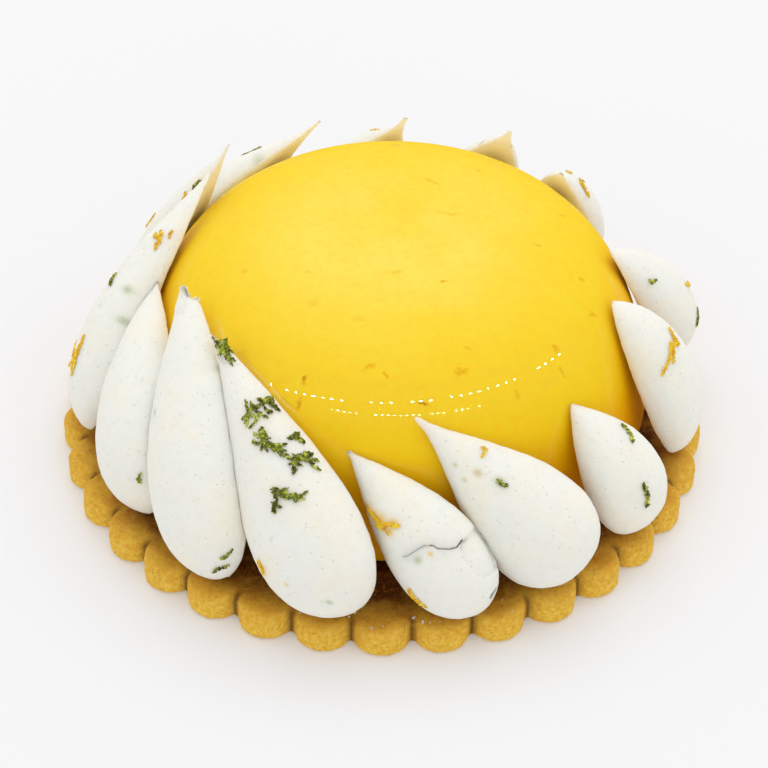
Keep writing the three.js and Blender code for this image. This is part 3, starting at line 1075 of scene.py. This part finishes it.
# %% Meringue finish
WHITE = paint(240, 241, 234)
WARM_WHITE = paint(244, 240, 227)
GREY_WHITE = paint(226, 226, 216)
TRAY_CREAM = paint(251, 246, 231)
PORE = paint(176, 166, 142)
DARK_PORE = paint(128, 118, 92)
CRACK_SHADE_OLIVE = paint(136, 128, 96)
LEMON_TINT = paint(238, 194, 36)
LIME_TINT = paint(168, 180, 132)
BUTTER_TINT = paint(206, 188, 142)
meringue = Finish(
    "dried_meringue", WHITE, Roughness=0.72, Specular_IOR_Level=0.1,
    Subsurface_Weight=0.6, Subsurface_Radius=(1.0, 0.96, 0.88), Subsurface_Scale=2.5 * MM,
)
pores = meringue.specks(0.8 * MM, 0.16 * MM, 0.4)
meringue.wash(WARM_WHITE, meringue.ramp(meringue.noise(7 * MM, 3.0), 0.4, 0.7))
meringue.wash(GREY_WHITE, meringue.ramp(meringue.noise(1.3 * MM, 3.0, 0.6), 0.45, 0.75, 0.0, 0.25))
meringue.wash(TRAY_CREAM, meringue.layer("tray"), 0.9)
meringue.wash(LIME_TINT, meringue.specks(9 * MM, 0.9 * MM, 0.3), 0.3)
meringue.wash(PORE, pores, 0.1)
meringue.wash(DARK_PORE, meringue.specks(2.6 * MM, 0.22 * MM, 0.25), 0.2)
meringue.wash(LIME_TINT, meringue.layer("lime_stain"), 0.7)
meringue.wash(LEMON_TINT, meringue.layer("lemon_stain"), 0.95)
meringue.wash(BUTTER_TINT, meringue.layer("butter_stain"), 0.8)
# painted shade inside the crack
meringue.wash(CRACK_SHADE_OLIVE, meringue.layer("crack"))
meringue.relief(meringue.math("SUBTRACT", meringue.noise(0.7 * MM, 3.0, 0.6), pores), 0.12 * MM)
for number, piece in drops.items():
    dress(piece, meringue)
    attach(piece, "root")
    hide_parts(f"meringue_{number:02d}")

# %% [markdown]
# ## Zest
# Lime and lemon were grated over the drops and came down as ragged, kinked shreds. A curve would be too
# even. A few shreds are modelled from small grids that lose some faces, with shaken points and a kink.
# Each point keeps whether it lies on a torn edge, because the pith shows pale there.

# %% Shreds
SHRED_LENGTH = 3 * MM
SHRED_WIDTH = 0.75 * MM
SHRED_SHAKE = 0.12 * MM
SHRED_TORN = 0.3
# where the narrow ends and the kinked half begin, as shares of the length
SHRED_END = 0.38
SHRED_BEND = 0.05
KINKS = [20, -35, 55, -70, 80, -20, 40, -55]


def shred(number, kink):
    bpy.ops.mesh.primitive_grid_add(x_subdivisions=12, y_subdivisions=4, size=1, location=(0, 0, 0))
    piece = bpy.context.object
    piece.name = f"shred_{number}"
    edit(piece)
    bpy.ops.transform.resize(value=(SHRED_LENGTH, SHRED_WIDTH, 1), center_override=(0, 0, 0))
    pick(lambda co: abs(co.x) > SHRED_END * SHRED_LENGTH)
    bpy.ops.transform.resize(value=(1, 0.5, 1), center_override=(0, 0, 0))
    tear_out(SHRED_TORN, number)
    bpy.ops.transform.vertex_random(offset=SHRED_SHAKE, seed=number)
    pick(lambda co: co.x > SHRED_BEND * SHRED_LENGTH)
    bpy.ops.transform.rotate(value=math.radians(kink), orient_axis="Z", center_override=(0, 0, 0))
    corners = bmesh.from_edit_mesh(piece.data).verts
    torn = [len(corner.link_faces) < 4 for corner in corners]
    leave_edit()
    mark(piece, "torn", torn)
    return piece


shreds = [shred(number, kink) for number, kink in enumerate(KINKS)]
print(len(shreds), "shreds of", [len(piece.data.polygons) for piece in shreds], "faces")

# %% [markdown]
# ## Where the zest fell
# Where each shred lies is known from the solids: the drop it fell on, how far along and across as
# shares, how it is turned and how long it is. On the hidden drops the solids strew a few with a seeded
# draw, and the same draw is made here.

# %% Where the zest fell
LIME_STRANDS = [
    (2, 0.59, -0.15, 170, 1.5), (3, 0.69, -0.45, 150, 3), (3, 0.32, 0.25, 175, 3.5),
    (5, 0.72, 0.78, 165, 1.5), (10, 0.77, -0.9, 10, 2), (12, 0.12, -0.82, 15, 1.5),
    (13, 0.03, -0.7, 95, 3), (14, 0.88, -0.5, 80, 3), (14, 0.86, -0.7, 10, 3.5),
    (14, 0.65, -0.34, 135, 3), (14, 0.64, -0.64, 35, 2.5), (14, 0.65, -0.95, 20, 2.5),
    (14, 0.58, -0.44, 40, 3), (14, 0.56, -0.5, 175, 3), (14, 0.53, -0.95, 15, 2.5),
    (14, 0.5, -0.64, 35, 3.5), (14, 0.46, -0.78, 95, 3.5), (14, 0.45, -0.9, 25, 4),
    (14, 0.4, -0.3, 90, 3.5), (14, 0.38, -0.44, 65, 3.5),
]
LEMON_STRANDS = [
    (1, 0.67, 0.6, 10, 4.5), (1, 0.63, 0.42, 55, 4), (1, 0.27, 0.85, 15, 4),
    (2, 0.71, -0.7, 165, 1.5), (4, 0.69, 0.1, 125, 3), (4, 0.62, 0.62, 125, 5),
    (6, 0.8, -0.15, 155, 1.5), (6, 0.74, 0.66, 95, 3.5), (10, 0.69, -0.9, 15, 1.5),
    (11, 0.71, -0.8, 10, 3), (11, 0.23, -0.35, 175, 5.5), (14, 0.24, 0.64, 170, 2),
]
STREWN_DROPS = [5, 6, 7, 8, 9, 10, 11]
STREWN_EACH = 2
STREWN_SPANS = ((0.2, 0.65), (-0.5, 0.5), (0, 180), (2, 4.5))
STREWN_SEED = 7
WORD = 0xFFFFFFFF


def even_draws(seed):
    while True:
        seed = (seed + 0x6D2B79F5) & WORD
        t = ((seed ^ seed >> 15) * (seed | 1)) & WORD
        t ^= (t + ((t ^ t >> 7) * (t | 61) & WORD)) & WORD
        yield ((t ^ t >> 14) & WORD) / 2 ** 32


def strewn_strands(draws):
    next(draws)
    for number in STREWN_DROPS:
        for _ in range(STREWN_EACH):
            yield (number, *(low + (high - low) * next(draws) for low, high in STREWN_SPANS))


strewn = list(strewn_strands(even_draws(STREWN_SEED)))
print(len(LIME_STRANDS), "strands of lime,", len(LEMON_STRANDS), "of lemon,", len(strewn), "strewn")

# %% [markdown]
# ## Laying a shred
# A shred that fell on a drop follows its skin. Turning a stiff copy to the slope would leave its ends in
# the air, so Shrinkwrap lays each copy on the skin and Solidify gives it thickness.

# %% Laying a shred
SHRED_LIFT = 0.1 * MM
SHRED_THICKNESS = 0.2 * MM
LAID_SHAKE = 0.1 * MM
STEP_ALONG = 0.01
STEP_ACROSS = 0.03
luck = random.Random(5)


def skin_point(drop, share, across):
    height = half_height(drop, share) * (math.sqrt(1 - across * across) + DROP_CENTRE_RATIO)
    y = across * half_width(drop, share) + tail_bend(drop, share)
    return Vector((share * drop.length * MM, y, height))


def lie_on(drop, along, across, turn):
    middle = skin_point(drop, along, across)
    ahead = (skin_point(drop, along + STEP_ALONG, across) - middle).normalized()
    step = STEP_ACROSS if across < 0 else -STEP_ACROSS
    aside = (skin_point(drop, along, across + step) - middle) / step
    out = ahead.cross(aside).normalized()
    lie = Matrix((ahead, out.cross(ahead), out)).transposed()
    lie = lie @ Matrix.Rotation(math.radians(turn), 3, "Z")
    return Matrix.Translation(middle) @ lie.to_4x4()


def lay(bits, number, along, across, turn, length, width):
    take(luck.choice(shreds))
    bpy.ops.object.duplicate()
    bit = bpy.context.object
    size = Matrix.Diagonal((length * MM / SHRED_LENGTH, width, 1, 1))
    bit.matrix_world = stands[number] @ lie_on(DROPS[number - 1], along, across, turn) @ size
    settle(bit)
    modify(bit, "SHRINKWRAP", target=drops[number], wrap_mode="ABOVE_SURFACE", offset=SHRED_LIFT)
    edit(bit)
    bpy.ops.transform.vertex_random(offset=LAID_SHAKE, seed=luck.randrange(1000))
    leave_edit()
    modify(bit, "SOLIDIFY", thickness=SHRED_THICKNESS, offset=1)
    mark(bit, "shade", np.full(len(bit.data.vertices), luck.random()))
    bits.append(bit)


# %% [markdown]
# ## Strewing the zest
# Grated zest clings together, so smaller bits lie round the long shreds of some drops. They could be
# laid by hand, but a seeded draw is quicker and gives the same heap each time. All bits of one kind are
# then joined into one piece.

# %% Strewing the zest
STRAND_STRETCH = 1.2
SKIN_LIMIT = 0.96
# how many smaller bits cling to each shred of a drop
LIME_COMPANIONS = {14: 3, 13: 1}
LEMON_COMPANIONS = {4: 1, 6: 1, 11: 2}


def strew(bits, strands, companions):
    for number, along, across, turn, length in strands:
        lay(bits, number, along, across, turn, STRAND_STRETCH * length, luck.uniform(0.7, 1.1))
        for _ in range(companions.get(number, 0)):
            beside = min(along + luck.uniform(-1.5, 1.5) / DROPS[number - 1].length, SKIN_LIMIT)
            off = max(-SKIN_LIMIT, min(SKIN_LIMIT, across + luck.uniform(-0.2, 0.2)))
            lay(
                bits, number, beside, off, luck.uniform(0, 180),
                length * luck.uniform(0.5, 1.0), luck.uniform(0.4, 1.0),
            )


def gather(name, bits):
    piece = join(bits)
    piece.name = name
    edit(piece)
    bpy.ops.mesh.normals_make_consistent(inside=False)
    leave_edit()
    return piece


lime_bits = []
lemon_bits = []
strew(lime_bits, LIME_STRANDS, LIME_COMPANIONS)
strew(lemon_bits, LEMON_STRANDS, LEMON_COMPANIONS)
strew(lime_bits, strewn[0::2], {})
strew(lemon_bits, strewn[1::2], {})
print(len(lime_bits), "bits of lime,", len(lemon_bits), "of lemon")
lime = gather("lime_zest", lime_bits)
lemon = gather("lemon_zest", lemon_bits)
for piece in shreds:
    bpy.data.objects.remove(piece)

# %% [markdown]
# ## Zest finish
# Peel is darkest where the shred is thick and whole and palest along its torn, fibrous edges. Both kinds
# of zest are built alike, so one recipe mixes three tones and is given two sets of colours.

# %% Zest finish
LIME_TONES = (42, 62, 4), (110, 132, 12), (208, 212, 76)
LEMON_TONES = (230, 174, 6), (244, 204, 18), (252, 228, 76)


def zest_finish(name, tones):
    dark, middle, light = (paint(*tone) for tone in tones)
    finish = Finish(name, dark, Roughness=0.5, Subsurface_Weight=0.1, Subsurface_Scale=0.4 * MM)
    fibre = finish.ramp(finish.noise(0.6 * MM, 3.0, 0.6), 0.4, 0.64)
    torn = finish.ramp(finish.layer("torn"), 0.2, 1.0, 0.35, 1.0)
    open_part = finish.ramp(finish.noise(1.6 * MM, 2.0), 0.42, 0.58)
    finish.wash(middle, finish.layer("shade"), open_part)
    finish.wash(light, fibre, torn, finish.ramp(open_part, 0.0, 1.0, 0.35, 1.0))
    finish.relief(finish.noise(0.3 * MM, 3.0), 0.05 * MM)
    return finish


dress(lime, zest_finish("lime_skin", LIME_TONES))
dress(lemon, zest_finish("lemon_skin", LEMON_TONES))
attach(lime, "root")
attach(lemon, "root")

# %% [markdown]
# ## Crumbs
# Dried meringue sheds small white crumbs on the biscuit at its feet. One crumb is a small ball that is
# shaken out of shape; copies with their own mesh are turned, resized and joined.

# %% Crumbs
CRUMB_RADIUS = 0.24 * MM
CRUMB_SHAKE = 0.5
CRUMB_SINK = 0.25 * MM
# x, y on the biscuit and size
CRUMBS = [
    (0.7, -48.0, 0.7), (-0.8, -48.4, 0.9), (5.1, -46.2, 0.8), (6.4, -47.0, 1.0),
    (7.5, -47.1, 0.6), (19.1, -44.5, 0.8), (17.7, -42.5, 0.6), (-3.3, -45.5, 0.9),
    (-4.1, -46.3, 0.6), (8.8, -46.9, 0.7), (26.2, -39.2, 0.5), (-11.1, -45.7, 0.6),
]
bpy.ops.mesh.primitive_ico_sphere_add(subdivisions=2, radius=CRUMB_RADIUS, location=(0, 0, 0))
crumb = bpy.context.object
edit(crumb)
bpy.ops.transform.vertex_random(offset=CRUMB_SHAKE * CRUMB_RADIUS, seed=3)
leave_edit()
crumb_bits = []
for x, y, size in CRUMBS:
    take(crumb)
    bpy.ops.object.duplicate()
    bit = bpy.context.object
    bit.location = (x * MM, y * MM, BISCUIT_THICKNESS - CRUMB_SINK)
    bit.rotation_euler = (luck.uniform(0, 6), luck.uniform(0, 6), luck.uniform(0, 6))
    bit.scale = (size * luck.uniform(0.8, 1.8), size * luck.uniform(0.5, 1.0), size)
    settle(bit)
    crumb_bits.append(bit)
bpy.data.objects.remove(crumb)
crumbs = gather("meringue_crumbs", crumb_bits)
dress(crumbs, meringue)
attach(crumbs, "root")
print("crumbs", len(crumbs.data.polygons), "faces")
